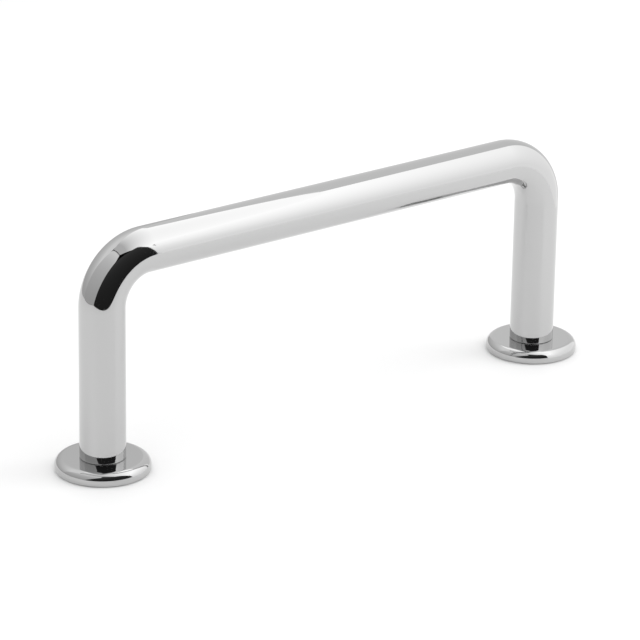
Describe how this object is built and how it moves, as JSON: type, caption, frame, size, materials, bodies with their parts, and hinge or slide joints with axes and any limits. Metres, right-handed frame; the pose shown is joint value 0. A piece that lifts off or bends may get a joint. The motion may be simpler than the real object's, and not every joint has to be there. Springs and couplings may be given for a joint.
{
  "type": "bridge pull handle",
  "caption": "Bow-shaped pull handle of polished round bar with flat round rosettes under its feet, fixed by screws from behind.",
  "frame": {"origin": "on the mounting face, midway between the axes of the two screw holes", "axes": "+X along the grip, +Z away from the drawer front, +Y across the handle"},
  "size_m": [0.113, 0.017, 0.042],
  "materials": {
    "polished_chrome": "polished chrome plating"
  },
  "bodies": {
    "root": {"handle_bar": "polished_chrome", "left_rosette": "polished_chrome", "right_rosette": "polished_chrome"}
  },
  "joints": []
}
